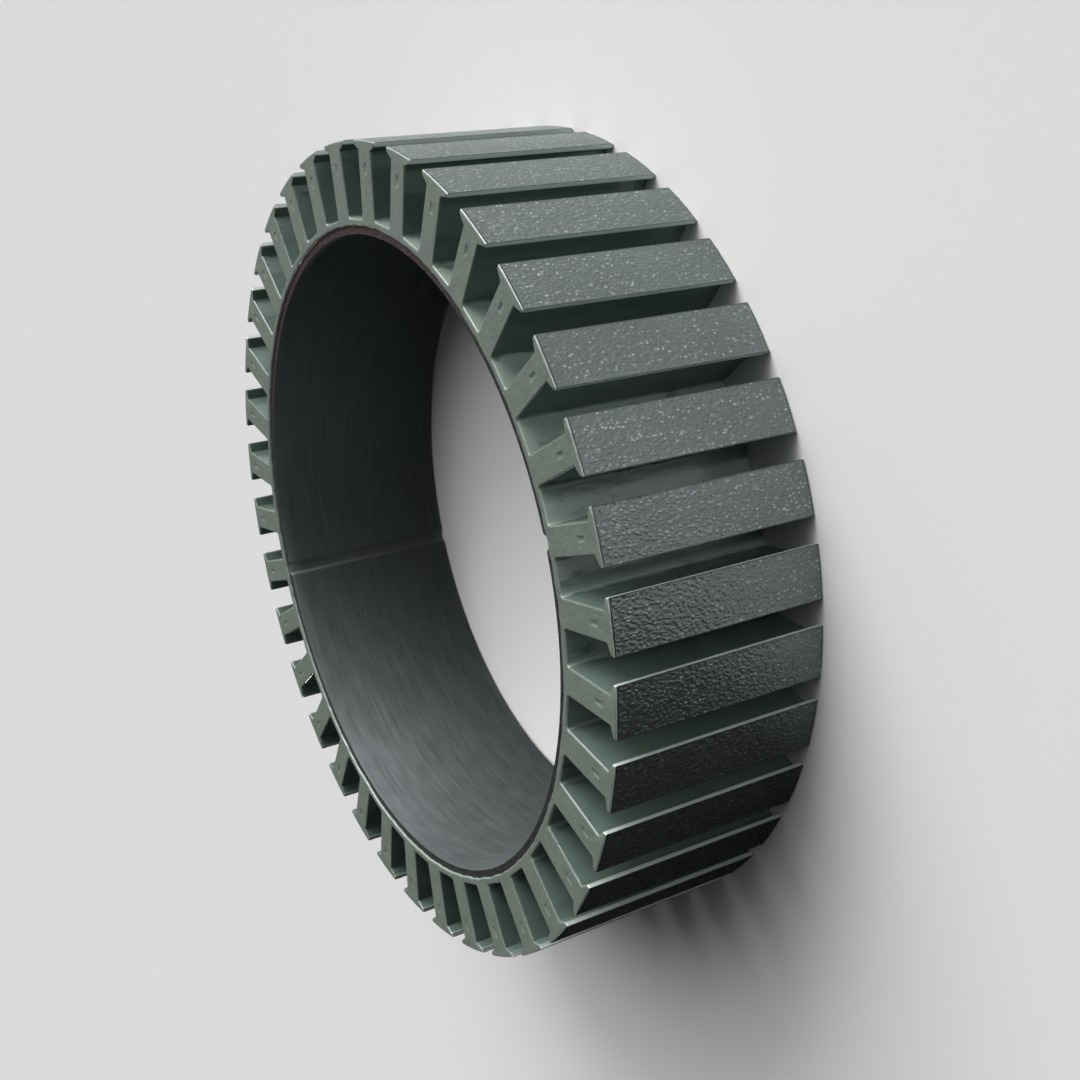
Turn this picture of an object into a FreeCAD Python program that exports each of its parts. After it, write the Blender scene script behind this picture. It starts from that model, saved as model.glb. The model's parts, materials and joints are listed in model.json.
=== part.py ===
import FreeCAD, Part
import math
import os
import Sketcher

# Stator of an outer-rotor motor: a pack of stamped laminations, interlocked and keyed, under
# an insulating coat of epoxy powder. The bore axis is +Z. The pack lies on its rear end at
# Z = 0, with one tooth centred on +X and the winding slots half a tooth pitch from it.

SIZES = {
    "bore_diameter": 78.8,
    "tooth_count": 36,
    "lamination_thickness": 0.35,
    "lamination_count": 72,
    "yoke_thickness": 1.45,
    "tooth_length": 9.15,
    "tooth_width": 2.7,
    "slot_opening": 3.05,
    "shoe_edge": 0.25,
    "flare_angle": 60.0,
    "coat_thickness": 0.3,
    "edge_coat": 0.1,
    "slot_corner_radius": 0.35,
    "bare_margin": 0.9,
    "key_count": 2,
    "key_mouth": 1.9,
    "key_floor": 1.0,
    "key_depth": 0.6,
    "interlock_length": 2.1,
    "interlock_width": 1.4,
    "interlock_depth": 0.25,
    "interlock_inset": 3.1,
}

# Expressions of the sheet that more than one feature reads.
STACK = "Sizes.lamination_thickness * Sizes.lamination_count"
COATED_STACK = f"{STACK} + 2 * Sizes.coat_thickness"
BORE_RADIUS = "Sizes.bore_diameter / 2"
SLOT_FLOOR = f"{BORE_RADIUS} + Sizes.yoke_thickness"
OUTER_RADIUS = f"{SLOT_FLOOR} + Sizes.tooth_length"
HALF_PITCH = "180 / Sizes.tooth_count"
FLARE = "Sizes.flare_angle * 1 deg"
INTERLOCK_CENTRE = f"{OUTER_RADIUS} - Sizes.interlock_inset"
# The slot and key outlines run past the rims that they cut, so that the cuts are open.
OVERRUN = 1.0
TOUCH = 0.001

doc = FreeCAD.newDocument("stator")
sheet = doc.addObject("Spreadsheet::Sheet", "Sizes")
for row, (alias, size) in enumerate(SIZES.items(), start=1):
    sheet.set(f"A{row}", alias)
    sheet.set(f"B{row}", str(size))
    sheet.setAlias(f"B{row}", alias)
doc.recompute()


def origin_feature(body, role):
    """The plane or axis of this body's own origin that has the role."""
    return next(item for item in body.Origin.OriginFeatures if item.Role == role)


def add_body(name, lift):
    """A body named after its sub-part, raised above the floor by the expression."""
    body = doc.addObject("PartDesign::Body", name)
    body.Label = name
    body.setExpression("Placement.Base.z", lift)
    return body


def add_sketch(body, name, height="0", turn="0"):
    """A sketch over the body's XY plane, raised and turned about the axis."""
    sketch = body.newObject("Sketcher::SketchObject", name)
    sketch.AttachmentSupport = [(origin_feature(body, "XY_Plane"), "")]
    sketch.MapMode = "FlatFace"
    sketch.AttachmentOffset = FreeCAD.Placement(FreeCAD.Vector(), FreeCAD.Rotation(0, 0, 1, 1))
    sketch.setExpression("AttachmentOffset.Base.z", height)
    sketch.setExpression("AttachmentOffset.Rotation.Angle", turn)
    return sketch


def dimension(sketch, kind, where, start, expression):
    """A driving dimension of the sketch, bound to the sheet."""
    index = sketch.addConstraint(Sketcher.Constraint(kind, *where, start))
    sketch.setExpression(f"Constraints[{index}]", expression)


def add_circle(sketch, radius):
    """A circle round the bore axis."""
    circle = sketch.addGeometry(Part.Circle(FreeCAD.Vector(), FreeCAD.Vector(0, 0, 1), 1.0))
    sketch.addConstraint(Sketcher.Constraint("Coincident", circle, 3, -1, 1))
    dimension(sketch, "Radius", (circle,), 1.0, radius)


def add_outline(sketch, upper):
    """A closed outline, symmetric about the X axis, from the points of its upper half."""
    lower = [(x, -y) for x, y in reversed(upper)]
    points = [FreeCAD.Vector(x, y, 0) for x, y in upper + lower]
    lines = []
    for start, end in zip(points, points[1:] + points[:1]):
        lines.append(sketch.addGeometry(Part.LineSegment(start, end)))
    for line, following in zip(lines, lines[1:] + lines[:1]):
        sketch.addConstraint(Sketcher.Constraint("Coincident", line, 2, following, 1))
    for step in range(len(upper)):
        sketch.addConstraint(Sketcher.Constraint("Symmetric", lines[step], 1, lines[-2 - step], 2, -1))
    return lines


def add_ring(body, outer, inner, length):
    """The plain ring that a body's slots are cut in."""
    sketch = add_sketch(body, body.Name + "_ring_outline")
    add_circle(sketch, outer)
    add_circle(sketch, inner)
    ring = body.newObject("PartDesign::Pad", body.Name + "_ring")
    ring.Profile = sketch
    ring.setExpression("Length", length)
    return ring


def add_slot_outline(body, tooth_width, floor, opening, shoe_edge):
    """A winding slot: a flat floor, walls parallel to the teeth, flared shoes, a narrow mouth."""
    sketch = add_sketch(body, body.Name + "_slot_outline", turn=HALF_PITCH)
    radius = SIZES["bore_diameter"] / 2 + SIZES["yoke_thickness"] + SIZES["tooth_length"]
    wall, flare, edge, mouth, _, _, _, _ = add_outline(
        sketch,
        [(radius * 0.8, 2.0), (radius * 0.97, 2.6), (radius * 0.99, 1.4), (radius + OVERRUN, 1.4)],
    )
    tooth_line = Part.LineSegment(FreeCAD.Vector(0, 0, 0), FreeCAD.Vector(radius, 4.4, 0))
    tooth_axis = sketch.addGeometry(tooth_line, True)
    sketch.addConstraint(Sketcher.Constraint("Coincident", tooth_axis, 1, -1, 1))
    sketch.addConstraint(Sketcher.Constraint("Parallel", tooth_axis, wall))
    sketch.addConstraint(Sketcher.Constraint("Horizontal", edge))
    dimension(sketch, "Distance", (tooth_axis,), radius, OUTER_RADIUS)
    dimension(sketch, "Angle", (tooth_axis,), math.radians(5), f"{HALF_PITCH} * 1 deg")
    dimension(sketch, "Distance", (wall, 1, tooth_axis), 1.5, f"({tooth_width}) / 2")
    dimension(sketch, "DistanceX", (-1, 1, wall, 1), radius * 0.8, floor)
    dimension(sketch, "DistanceY", (-1, 1, edge, 1), 1.4, f"({opening}) / 2")
    dimension(sketch, "DistanceX", (-1, 1, edge, 1), radius * 0.99, f"{OUTER_RADIUS} - ({shoe_edge})")
    dimension(sketch, "Angle", (flare,), math.radians(-60), f"-{FLARE}")
    dimension(sketch, "DistanceX", (-1, 1, mouth, 1), radius + OVERRUN, f"{OUTER_RADIUS} + {OVERRUN}")
    return sketch


def add_cut(body, name, sketch, depth=None):
    """A pocket down from the sketch, or through the whole body both ways."""
    cut = body.newObject("PartDesign::Pocket", name)
    cut.Profile = sketch
    if depth is None:
        cut.Type = "ThroughAll"
        cut.SideType = "Symmetric"
    else:
        cut.Type = "Length"
        cut.setExpression("Length", depth)
    return cut


def repeat(body, feature, count):
    """The feature, repeated round the bore axis."""
    pattern = body.newObject("PartDesign::PolarPattern", feature.Name + "s")
    pattern.Originals = [feature]
    pattern.Axis = (origin_feature(body, "Z_Axis"), [""])
    pattern.Angle = 360.0
    pattern.setExpression("Occurrences", count)
    body.Tip = pattern
    return pattern


def round_slot_corners(body, floor):
    """The epoxy's meniscus along both inner corners of every slot."""
    half_pitch = math.pi / SIZES["tooth_count"]
    half_tooth = SIZES["tooth_width"] / 2 + SIZES["coat_thickness"]
    half_floor = floor * math.tan(half_pitch) - half_tooth / math.cos(half_pitch)
    corner = math.hypot(floor, half_floor)
    slotted = body.Tip
    names = []
    for number, edge in enumerate(slotted.Shape.Edges, start=1):
        ends = [math.hypot(vertex.X, vertex.Y) for vertex in edge.Vertexes]
        if len(ends) == 2 and max(abs(end - corner) for end in ends) < TOUCH:
            if edge.BoundBox.ZLength > TOUCH:
                names.append(f"Edge{number}")
    fillet = body.newObject("PartDesign::Fillet", "slot_corners")
    fillet.Base = (slotted, names)
    fillet.setExpression("Radius", "Sizes.slot_corner_radius")


def add_interlocks(body, margin, height):
    """The interlock pressed into the front end of every tooth, less a margin all round."""
    sketch = add_sketch(body, body.Name + "_interlock_outline", height=height)
    inner, outer, _, _ = add_outline(sketch, [(46.0, 0.5), (48.0, 0.5)])
    reach = f"(Sizes.interlock_length / 2 - {margin})"
    half_width = f"Sizes.interlock_width / 2 - {margin}"
    dimension(sketch, "DistanceX", (-1, 1, inner, 1), 46.0, f"{INTERLOCK_CENTRE} - {reach}")
    dimension(sketch, "DistanceX", (-1, 1, outer, 1), 48.0, f"{INTERLOCK_CENTRE} + {reach}")
    dimension(sketch, "DistanceY", (-1, 1, inner, 1), 0.5, half_width)
    dimension(sketch, "DistanceY", (-1, 1, outer, 1), 0.5, half_width)
    interlock = add_cut(body, body.Name + "_interlock", sketch, "Sizes.interlock_depth")
    return repeat(body, interlock, "Sizes.tooth_count")


def build_core():
    """The laminations, held as one pack by the interlocks in their teeth."""
    body = add_body("lamination_core", "Sizes.coat_thickness")
    add_ring(body, OUTER_RADIUS, BORE_RADIUS, STACK)
    outline = add_slot_outline(
        body, "Sizes.tooth_width", SLOT_FLOOR, "Sizes.slot_opening", "Sizes.shoe_edge"
    )
    slot = add_cut(body, "core_slot", outline)
    repeat(body, slot, "Sizes.tooth_count")

    groove = add_sketch(body, "key_groove_outline")
    bore = SIZES["bore_diameter"] / 2
    flank, floor, _, _ = add_outline(groove, [(bore - OVERRUN, 2.5), (bore + 0.6, 0.5)])
    dimension(groove, "DistanceX", (-1, 1, flank, 1), bore - OVERRUN, f"{BORE_RADIUS} - {OVERRUN}")
    dimension(groove, "DistanceX", (-1, 1, floor, 1), bore + 0.6, f"{BORE_RADIUS} + Sizes.key_depth")
    dimension(groove, "DistanceY", (-1, 1, floor, 1), 0.5, "Sizes.key_floor / 2")
    spread = f"(Sizes.key_mouth - Sizes.key_floor) / 2 * (1 + {OVERRUN} / Sizes.key_depth)"
    dimension(groove, "DistanceY", (-1, 1, flank, 1), 1.7, f"Sizes.key_floor / 2 + {spread}")
    key = add_cut(body, "key_groove", groove)
    repeat(body, key, "Sizes.key_count")
    add_interlocks(body, "0", STACK)
    return body


def build_coating(core):
    """Epoxy on both ends and on the slot walls. The tooth tips, bore and bore margin stay bare."""
    blank = add_body("coated_form", "0")
    add_ring(blank, OUTER_RADIUS, f"{BORE_RADIUS} + Sizes.bare_margin", COATED_STACK)
    coated_edge = (
        f"Sizes.shoe_edge + (Sizes.coat_thickness - Sizes.edge_coat * cos({FLARE})) / sin({FLARE})"
    )
    outline = add_slot_outline(
        blank,
        "Sizes.tooth_width + 2 * Sizes.coat_thickness",
        f"{SLOT_FLOOR} + Sizes.coat_thickness",
        "Sizes.slot_opening - 2 * Sizes.edge_coat",
        coated_edge,
    )
    slot = add_cut(blank, "coated_slot", outline)
    repeat(blank, slot, "Sizes.tooth_count")
    doc.recompute()
    floor = SIZES["bore_diameter"] / 2 + SIZES["yoke_thickness"] + SIZES["coat_thickness"]
    round_slot_corners(blank, floor)
    add_interlocks(blank, "Sizes.coat_thickness", COATED_STACK)
    coating = doc.addObject("Part::Cut", "epoxy_coating")
    coating.Label = "epoxy_coating"
    coating.Base = blank
    coating.Tool = core
    return coating


core = build_core()
coating = build_coating(core)
doc.recompute()

for item in doc.Objects:
    if {"Invalid", "Error"} & set(item.State):
        raise RuntimeError(f"{item.Name}: {item.State}")

os.makedirs("parts", exist_ok=True)
for item in (core, coating):
    shape = item.Shape
    if shape.isNull() or not shape.isValid():
        raise RuntimeError(f"{item.Label} has no valid shape")
    print(item.Label, len(shape.Solids), round(shape.Volume, 3), shape.BoundBox)
    shape.exportStep(f"parts/{item.Label}.step")
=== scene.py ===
# A motor stator: a ring of stamped steel laminations under a green epoxy coat.
import json
import math
import bmesh
import bpy
from mathutils import Matrix, Vector, noise as field


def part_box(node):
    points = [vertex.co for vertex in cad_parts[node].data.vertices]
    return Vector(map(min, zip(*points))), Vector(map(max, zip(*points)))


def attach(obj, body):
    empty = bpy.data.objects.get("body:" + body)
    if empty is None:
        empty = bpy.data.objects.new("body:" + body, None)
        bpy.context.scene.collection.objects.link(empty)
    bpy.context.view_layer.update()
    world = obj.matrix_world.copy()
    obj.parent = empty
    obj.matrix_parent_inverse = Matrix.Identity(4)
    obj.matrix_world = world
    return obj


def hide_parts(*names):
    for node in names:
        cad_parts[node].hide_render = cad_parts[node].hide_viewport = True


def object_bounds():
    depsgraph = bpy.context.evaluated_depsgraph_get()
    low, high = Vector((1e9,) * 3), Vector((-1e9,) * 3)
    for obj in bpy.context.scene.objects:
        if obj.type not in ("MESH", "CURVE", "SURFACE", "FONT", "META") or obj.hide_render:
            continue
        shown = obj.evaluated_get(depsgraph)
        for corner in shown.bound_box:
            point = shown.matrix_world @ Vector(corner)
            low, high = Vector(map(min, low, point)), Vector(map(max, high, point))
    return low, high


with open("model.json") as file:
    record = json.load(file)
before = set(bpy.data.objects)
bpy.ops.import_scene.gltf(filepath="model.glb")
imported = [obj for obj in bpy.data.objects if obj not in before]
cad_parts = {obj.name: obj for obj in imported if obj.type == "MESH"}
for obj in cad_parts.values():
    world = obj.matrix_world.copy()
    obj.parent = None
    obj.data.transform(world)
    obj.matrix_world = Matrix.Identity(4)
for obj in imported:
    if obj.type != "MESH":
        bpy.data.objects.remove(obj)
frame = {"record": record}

MM = 0.001
cad_low, cad_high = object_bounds()
centre = (cad_low + cad_high) / 2
top = cad_high.z
outer_radius = (cad_high.x - cad_low.x) / 2

# ---- The steel core ------------------------------------------------------------------------
# Seventy-two thin stampings of electrical steel, interlocked into one pack. The tooth tips
# wear a dark, pebbled varnish, the bore is smooth and dark, and a narrow margin beside the
# bore is left bare, brown on the +Y side and near-black elsewhere.
core_low, core_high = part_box("lamination_core")
bore_radius = frame["record"]["mounts"][0]["dims"]["r_mm"] * MM
lamination = 0.35 * MM
pebble_grid = 0.28 * MM
pebble_depth = 0.03 * MM
pebble_size = 0.7 * MM
# The pebbles stay this far inside the outer radius, and a tip is what lies in the skin.
skin_margin = 0.01 * MM
skin = 0.1 * MM
WELD = 0.002 * MM
flat_angle = math.radians(1)
crease_angle = math.radians(35)


def welded_copy(name):
    """A solid's mesh with its loose triangles joined up and its flat stretches made whole."""
    mesh = bmesh.new()
    mesh.from_mesh(bpy.data.objects[name].data)
    bmesh.ops.remove_doubles(mesh, verts=mesh.verts, dist=WELD)
    bmesh.ops.dissolve_limit(
        mesh, angle_limit=flat_angle, verts=mesh.verts, edges=mesh.edges
    )
    return mesh


def across(vertex):
    """How far the vertex stands from the ring's axis."""
    return math.hypot(vertex.co.x, vertex.co.y)


def rise(edge):
    """How far the edge climbs along the axis."""
    return abs(edge.verts[0].co.z - edge.verts[1].co.z)


def move_to_radius(vertex, radius):
    """Moves the vertex straight in or out."""
    share = radius / across(vertex)
    vertex.co.x *= share
    vertex.co.y *= share


def add_piece(name, mesh, materials, node, flat_area=math.inf):
    """The finished mesh as the piece that stands for a solid. Its large flat faces, its ends
    and its sharp edges stay crisp, and the rest is shaded smooth."""
    for face in mesh.faces:
        face.smooth = face.calc_area() < flat_area and len(face.verts) < 9
    for edge in mesh.edges:
        edge.smooth = edge.calc_face_angle(math.pi) < crease_angle
    data = bpy.data.meshes.new(name)
    mesh.to_mesh(data)
    mesh.free()
    for material in materials:
        data.materials.append(material)
    piece = bpy.data.objects.new(name, data)
    bpy.context.collection.objects.link(piece)
    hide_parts(node)
    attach(piece, "root")
    return piece


def new_material(name):
    """An empty Principled material with its node tree, its shader and the object's place."""
    material = bpy.data.materials.new(name)
    material.use_nodes = True
    tree = material.node_tree
    place = add(tree, "ShaderNodeTexCoord").outputs["Object"]
    return material, tree, tree.nodes["Principled BSDF"], place


def add(tree, kind, inputs=(), **settings):
    """A node with its settings, and with values or links on its named or numbered inputs."""
    node = tree.nodes.new(kind)
    for key, value in settings.items():
        setattr(node, key, value)
    for socket, value in dict(inputs).items():
        if isinstance(value, bpy.types.NodeSocket):
            tree.links.new(value, node.inputs[socket])
        else:
            node.inputs[socket].default_value = value
    return node


def maths(tree, operation, first, second=0.0):
    """One step of arithmetic."""
    return add(tree, "ShaderNodeMath", {0: first, 1: second}, operation=operation).outputs[0]


def weighted_sum(tree, *terms):
    """The sum of several values, each given with its weight."""
    total = 0.0
    for value, weight in terms:
        total = maths(tree, "ADD", total, maths(tree, "MULTIPLY", value, weight))
    return total


def coordinate(tree, vector, axis):
    """One coordinate of a vector."""
    return add(tree, "ShaderNodeSeparateXYZ", {0: vector}).outputs[axis]


def step_mask(tree, value, start, end):
    """0 below start and 1 above end, or the other way round if end is the smaller."""
    ends = {"Value": value, "From Min": start, "From Max": end}
    return add(tree, "ShaderNodeMapRange", ends).outputs[0]


def noise(tree, vector, scale, detail=2.0, roughness=0.5, output="Fac"):
    """Fine variation; scale is in cycles a metre."""
    inputs = {"Vector": vector, "Scale": scale, "Detail": detail, "Roughness": roughness}
    return add(tree, "ShaderNodeTexNoise", inputs).outputs[output]


def stretched(tree, vector, scale):
    """A vector scaled along each axis."""
    return add(tree, "ShaderNodeMapping", {"Vector": vector, "Scale": scale}).outputs[0]


def blend(tree, factor, first, second):
    """A mix of two colours, each a socket or a red, green and blue."""
    first, second = ((*ends, 1) if isinstance(ends, tuple) else ends for ends in (first, second))
    inputs = {"Factor": factor, 6: first, 7: second}
    return add(tree, "ShaderNodeMix", inputs, data_type="RGBA").outputs[2]


def mix_value(tree, factor, first, second):
    """A mix of two numbers."""
    inputs = {"Factor": factor, 2: first, 3: second}
    return add(tree, "ShaderNodeMix", inputs, data_type="FLOAT").outputs[0]


def bump(tree, shader, height, distance):
    """Relief on the shader's normal, its depth in metres."""
    node = add(tree, "ShaderNodeBump", {"Height": height, "Distance": distance})
    tree.links.new(node.outputs[0], shader.inputs["Normal"])


# The one effect that several materials share: a place's distance from the ring's axis.
axis_group = bpy.data.node_groups.new("distance from the axis", "ShaderNodeTree")
axis_group.interface.new_socket("Place", in_out="INPUT", socket_type="NodeSocketVector")
axis_group.interface.new_socket("Radius", in_out="OUTPUT", socket_type="NodeSocketFloat")
inlet = add(axis_group, "NodeGroupInput").outputs["Place"]
level = add(
    axis_group, "ShaderNodeVectorMath", {0: inlet, 1: (1, 1, 0)}, operation="MULTIPLY"
).outputs[0]
length = add(axis_group, "ShaderNodeVectorMath", {0: level}, operation="LENGTH").outputs["Value"]
add(axis_group, "NodeGroupOutput", {"Radius": length})


def axis_distance(tree, place):
    """The shared group's distance from the axis, in one material."""
    node = add(tree, "ShaderNodeGroup", node_tree=axis_group)
    tree.links.new(place, node.inputs["Place"])
    return node.outputs["Radius"]


varnish, tree, shader, place = new_material("pebbled tip varnish")
warp = noise(tree, place, 900, output="Color")
warped = add(
    tree,
    "ShaderNodeVectorMath",
    {0: warp, 1: (0.6 * MM, 0.6 * MM, 0.6 * MM), 2: place},
    operation="MULTIPLY_ADD",
).outputs[0]
cell = add(
    tree,
    "ShaderNodeTexVoronoi",
    {"Vector": stretched(tree, warped, (1, 1, 0.7)), "Scale": 2900, "Smoothness": 0.4},
    feature="SMOOTH_F1",
)
pebble = step_mask(tree, cell.outputs["Distance"], 0.75, 0.05)
fine_pebble = noise(tree, place, 3600, 2, 0.6)
tint = coordinate(tree, cell.outputs["Color"], "X")
# Painted glints: a pale colour on the tops of some pebbles stands in for the glints of light that
# they catch.
painted_glint = maths(
    tree, "MULTIPLY", step_mask(tree, pebble, 0.45, 0.95), step_mask(tree, tint, 0.55, 0.95)
)
cloud = noise(tree, place, 90, 3, 0.55)
tip_paint = blend(tree, cloud, (0.122, 0.135, 0.133), (0.182, 0.2, 0.196))
tip_colour = blend(tree, painted_glint, tip_paint, (0.5, 0.515, 0.51))
tree.links.new(tip_colour, shader.inputs["Base Color"])
tree.links.new(mix_value(tree, pebble, 0.26, 0.44), shader.inputs["Roughness"])
shader.inputs["Metallic"].default_value = 0.65
bump(tree, shader, weighted_sum(tree, (pebble, 1), (fine_pebble, 0.5)), 0.085 * MM)

bore_finish, tree, shader, place = new_material("dark bore steel")
streak = noise(tree, stretched(tree, place, (90, 90, 0.6 / lamination)), 1, 2, 0.6)
smear = noise(tree, stretched(tree, place, (1, 1, 2.5)), 260, 3, 0.6)
radius = axis_distance(tree, place)
# Painted highlight: the key groove is a lighter grey, standing in for the light strip that its
# lower flank catches.
groove_painted_highlight = step_mask(tree, radius, bore_radius + 0.05 * MM, bore_radius + 0.15 * MM)
bore_paint = blend(tree, streak, (0.19, 0.212, 0.215), (0.34, 0.372, 0.376))
bore_colour = blend(tree, groove_painted_highlight, bore_paint, (0.36, 0.4, 0.38))
tree.links.new(bore_colour, shader.inputs["Base Color"])
tree.links.new(mix_value(tree, smear, 0.36, 0.56), shader.inputs["Roughness"])
shader.inputs["Metallic"].default_value = 0.85
bump(tree, shader, streak, 0.03 * MM)

bare_steel, tree, shader, place = new_material("bare steel margin")
grit_noise = noise(tree, place, 3000, 3, 0.6)
# The margin's colour is brown on the +Y side and near-black elsewhere.
upright = coordinate(tree, place, "Y")
plus_y_side = step_mask(tree, upright, 0.45 * bore_radius, 0.95 * bore_radius)
grit = step_mask(tree, grit_noise, 0.36, 0.64)
dark_grit_tone = blend(tree, grit, (0.006, 0.006, 0.006), (0.03, 0.03, 0.028))
brown_grit_tone = blend(tree, grit, (0.01, 0.006, 0.006), (0.085, 0.042, 0.038))
tree.links.new(blend(tree, plus_y_side, dark_grit_tone, brown_grit_tone), shader.inputs["Base Color"])
shader.inputs["Roughness"].default_value = 0.55
bump(tree, shader, grit_noise, 0.25 * MM)


def skin_vertices(mesh):
    """The vertices on the ring's outer cylinder."""
    return {vertex for vertex in mesh.verts if across(vertex) > outer_radius - WELD}


mesh = welded_copy("lamination_core")
on_skin = skin_vertices(mesh)
tips = [face for face in mesh.faces if all(vertex in on_skin for vertex in face.verts)]
along = {edge for face in tips for edge in face.edges if rise(edge) > MM}
cuts = round((core_high.z - core_low.z) / pebble_grid)
bmesh.ops.subdivide_edges(mesh, edges=list(along), cuts=cuts, use_grid_fill=True)
on_skin = skin_vertices(mesh)
hoops = [edge for edge in mesh.edges if all(vertex in on_skin for vertex in edge.verts)]
hoops = [edge for edge in hoops if rise(edge) < WELD]
cuts = round(max(edge.calc_length() for edge in hoops) / pebble_grid)
bmesh.ops.subdivide_edges(mesh, edges=hoops, cuts=cuts, use_grid_fill=True)
for vertex in mesh.verts:
    on_grid = all(len(face.verts) < 5 for face in vertex.link_faces)
    if across(vertex) > outer_radius - skin and on_grid:
        lump = field.noise(vertex.co / pebble_size)
        relief = pebble_depth * (0.5 - 0.5 * lump)
        move_to_radius(vertex, outer_radius - skin_margin - relief)
for face in mesh.faces:
    if all(across(vertex) > outer_radius - skin for vertex in face.verts):
        face.material_index = 0
    elif abs(face.normal.z) < 0.5:
        face.material_index = 1
    else:
        face.material_index = 2
finishes = (varnish, bore_finish, bare_steel)
add_piece("steel_laminations", mesh, finishes, "lamination_core")

# ---- The epoxy coat ------------------------------------------------------------------------
# One skin of electrostatically sprayed epoxy powder, fused over both ends and down every slot.
# Its edges are round where it turns into the slots, and uneven where it was wiped off the
# bore margin. The ends are matt and faintly grained, and the film in the slots is glossier.
edge_roundness = 0.2 * MM
margin_waver = 0.12 * MM
interlock_depth = 0.25 * MM
slot_floor_radius = bore_radius + 1.75 * MM
skin_inset = 0.004 * MM
# A dimple: the share of the interlock that its rim covers, how deep the rim lies, and the
# further steps down to its middle, each set in by the same width.
dimple_share = 0.85
dimple_rim = 0.02 * MM
dimple_inset = 0.09 * MM
dimple_steps = [0.05 * MM, 0.05 * MM, 0.02 * MM]

epoxy, tree, shader, place = new_material("epoxy powder coat")
radius = axis_distance(tree, place)
normal = add(tree, "ShaderNodeNewGeometry").outputs["Normal"]
facing = maths(tree, "ABSOLUTE", coordinate(tree, normal, "Z"))
on_end = step_mask(tree, facing, 0.55, 0.85)
grain = noise(tree, place, 4200, 3, 0.6)
mottle = noise(tree, place, 420, 3, 0.55)
puddle = noise(tree, stretched(tree, place, (1, 1, 0.45)), 700)
grainy = step_mask(tree, grain, 0.3, 0.7)
dark_end = blend(tree, mottle, (0.096, 0.115, 0.1), (0.139, 0.163, 0.143))
pale_end = blend(tree, mottle, (0.154, 0.186, 0.16), (0.212, 0.25, 0.218))
end_colour = blend(tree, grainy, dark_end, pale_end)
# Partly painted shade: the slot walls are darker and deeper green than the ends, partly for their
# glossier film and partly for the shade inside the slots.
wall_tone_with_shade = blend(tree, mottle, (0.076, 0.112, 0.094), (0.124, 0.168, 0.144))
# Painted light: the slot's floor is paler, up to a ragged line on its walls, standing in for the
# light and reflection that the floors catch.
ragged_light_line = weighted_sum(tree, (radius, 1), (puddle, 1.6 * MM))
painted_floor_light = step_mask(tree, ragged_light_line, slot_floor_radius + 1.2 * MM, slot_floor_radius + 0.98 * MM)
wall_shade_and_floor_light = blend(tree, painted_floor_light, wall_tone_with_shade, (0.25, 0.31, 0.27))
# Painted highlight: the walls near the mouth are much paler, standing in for the light that the
# shoes' mouth faces catch.
painted_mouth_highlight = step_mask(tree, radius, outer_radius - 0.65 * MM, outer_radius - 0.35 * MM)
wall_with_painted_light = blend(tree, painted_mouth_highlight, wall_shade_and_floor_light, (0.45, 0.5, 0.46))
face_colour = blend(tree, on_end, wall_with_painted_light, end_colour)
scraped = blend(tree, grain, (0.02, 0.024, 0.023), (0.05, 0.06, 0.055))
on_lip = step_mask(tree, radius, outer_radius - 0.05 * MM, outer_radius - 0.02 * MM)
tree.links.new(blend(tree, on_lip, face_colour, scraped), shader.inputs["Base Color"])
end_gloss = mix_value(tree, grain, 0.42, 0.6)
wall_gloss = mix_value(tree, mottle, 0.14, 0.28)
tree.links.new(mix_value(tree, on_end, wall_gloss, end_gloss), shader.inputs["Roughness"])
shader.inputs["IOR"].default_value = 1.6
wall_relief = weighted_sum(tree, (puddle, 0.8), (grain, 0.08))
end_relief = weighted_sum(tree, (grain, 0.22), (mottle, 0.8))
bump(tree, shader, mix_value(tree, on_end, wall_relief, end_relief), 0.12 * MM)

mesh = welded_copy("epoxy_coating")
inner_radius = min(across(vertex) for vertex in mesh.verts)
rims = [
    edge
    for edge in mesh.edges
    if rise(edge) < WELD and all(across(vertex) < inner_radius + skin for vertex in edge.verts)
]
bmesh.ops.subdivide_edges(mesh, edges=rims, cuts=6, use_grid_fill=True)
for vertex in mesh.verts:
    if across(vertex) < inner_radius + skin:
        end = 40 * MM if vertex.co.z > centre.z else 0.0
        place_on_rim = Vector((vertex.co.x, vertex.co.y, end))
        waver = field.noise(place_on_rim / (1.1 * MM)) + 0.6 * field.noise(place_on_rim / (5 * MM))
        move_to_radius(vertex, inner_radius + margin_waver * waver)
interlock_floor = top - interlock_depth
floors = [
    face for face in mesh.faces if abs(face.calc_center_median().z - interlock_floor) < WELD
]
for face in floors:
    middle = face.calc_center_median()
    for vertex in face.verts:
        vertex.co = middle.lerp(vertex.co, dimple_share)
        vertex.co.z = top - dimple_rim
for sink in dimple_steps:
    bmesh.ops.inset_individual(
        mesh, faces=floors, thickness=dimple_inset, depth=-sink, use_even_offset=True
    )
for vertex in mesh.verts:
    if across(vertex) > outer_radius - skin_inset:
        move_to_radius(vertex, outer_radius - skin_inset)
ends = [
    face
    for face in mesh.faces
    if abs(face.normal.z) > 0.99
    and min(abs(face.calc_center_median().z), abs(face.calc_center_median().z - top)) < WELD
]
shared = {edge for face in ends for edge in face.edges}
corners = [edge for edge in shared if edge.calc_face_angle(0.0) > math.radians(40)]
bmesh.ops.bevel(
    mesh,
    geom=corners,
    affect="EDGES",
    offset=edge_roundness,
    offset_type="OFFSET",
    segments=3,
    profile=0.5,
    material=-1,
    clamp_overlap=False,
)
add_piece("epoxy_coat", mesh, (epoxy,), "epoxy_coating", 4 * MM**2)

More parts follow.
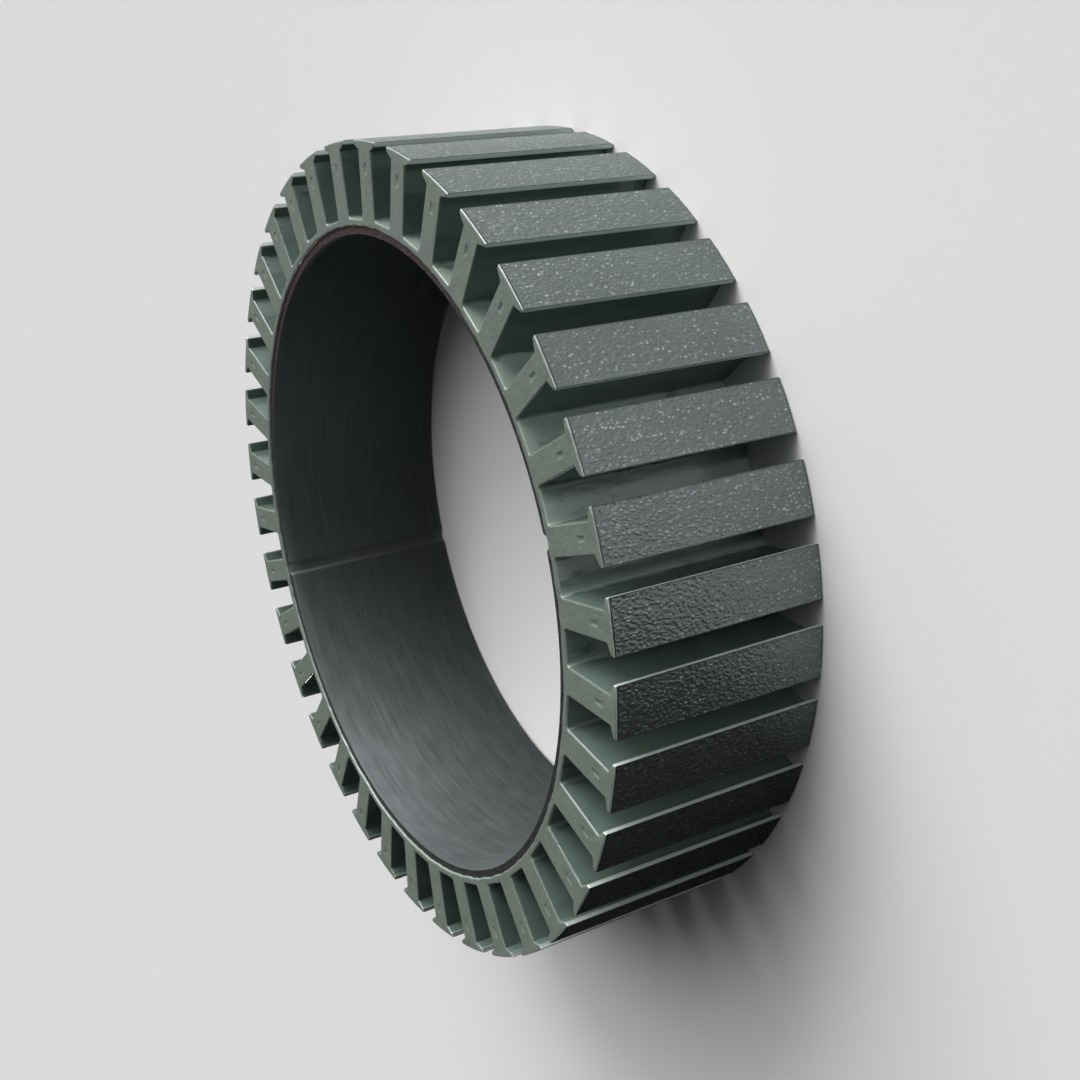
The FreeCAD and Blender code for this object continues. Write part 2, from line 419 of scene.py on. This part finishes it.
# ---- The stage -----------------------------------------------------------------------------
# A plain pale floor, which is also the backdrop. What the object mirrors is not that even
# ground: for all rays but the camera's own, the sky is bright on the +Y side and dark on the
# other, the floor is painted light and shade the same way, and painted dark inside the bore.
floor_mesh = bpy.data.meshes.new("floor")
sheet = bmesh.new()
bmesh.ops.create_grid(sheet, x_segments=1, y_segments=1, size=6.0)
sheet.to_mesh(floor_mesh)
sheet.free()
floor = bpy.data.objects.new("floor", floor_mesh)
bpy.context.collection.objects.link(floor)
pale = (0.78, 0.77, 0.76)
paper, tree, shader, place = new_material("pale paper")
seen = add(tree, "ShaderNodeLightPath").outputs["Is Camera Ray"]
lit_side = step_mask(tree, coordinate(tree, place, "Y"), -34 * MM, -20 * MM)
open_floor = blend(tree, lit_side, (0.015, 0.014, 0.013), (0.76, 0.82, 0.81))
# Painted shade: for all rays but the camera's, the floor inside the bore is a dark sheet.
painted_bore_shade = step_mask(tree, axis_distance(tree, place), bore_radius + MM, bore_radius - MM)
mirrored = blend(tree, painted_bore_shade, open_floor, (0.02, 0.02, 0.02))
tree.links.new(blend(tree, seen, mirrored, pale), shader.inputs["Base Color"])
shader.inputs["Roughness"].default_value = 1.0
shader.inputs["Specular IOR Level"].default_value = 0.0
floor_mesh.materials.append(paper)

world = bpy.data.worlds.new("studio")
bpy.context.scene.world = world
world.use_nodes = True
tree = world.node_tree
backdrop = tree.nodes["Background"]
seen = add(tree, "ShaderNodeLightPath").outputs["Is Camera Ray"]
direction = add(tree, "ShaderNodeTexCoord").outputs["Generated"]
lit_side = step_mask(tree, coordinate(tree, direction, "Y"), 0.0, 0.75)
sky = blend(tree, lit_side, (0.025, 0.025, 0.027), (0.9, 0.91, 0.93))
tree.links.new(blend(tree, seen, sky, pale), backdrop.inputs["Color"])


def add_sun(name, direction, softness, strength):
    """A far lamp that shines from the direction; its softness is in degrees."""
    data = bpy.data.lights.new(name, "SUN")
    data.angle = math.radians(softness)
    data.energy = strength
    lamp = bpy.data.objects.new(name, data)
    bpy.context.collection.objects.link(lamp)
    lamp.rotation_mode = "QUATERNION"
    lamp.rotation_quaternion = Vector(direction).to_track_quat("Z", "Y")


add_sun("key_lamp", (0.05, 0.95, 0.35), 45.0, 3.4)
# These two lie level with the floor, so that they light the teeth but not the bore.
add_sun("side_lamp", (0.98, 0.2, -0.02), 6.0, 1.1)
add_sun("fill_lamp", (-0.75, -0.65, -0.02), 6.0, 1.2)
add_sun("top_lamp", (0.05, 0.5, 0.86), 40.0, 1.0)

# ---- The camera ----------------------------------------------------------------------------
# It looks across the front end at the side of the ring, rolled so that +Y is up.
camera_data = bpy.data.cameras.new("camera")
camera_data.lens = 47.5
camera_data.sensor_width = 36.0
camera = bpy.data.objects.new("camera", camera_data)
bpy.context.collection.objects.link(camera)
camera.location = centre + Vector((163.5, 7.5, 80.2)) * MM
aim = centre + Vector((3.5, -1.7, -6.3)) * MM
back = (camera.location - aim).normalized()
side = Vector((0.05, 0.98, -0.2)).cross(back).normalized()
camera_axes = Matrix((side, back.cross(side), back)).transposed()
camera.rotation_mode = "QUATERNION"
camera.rotation_quaternion = camera_axes.to_quaternion()
bpy.context.scene.camera = camera
bpy.context.scene.view_settings.view_transform = "Standard"
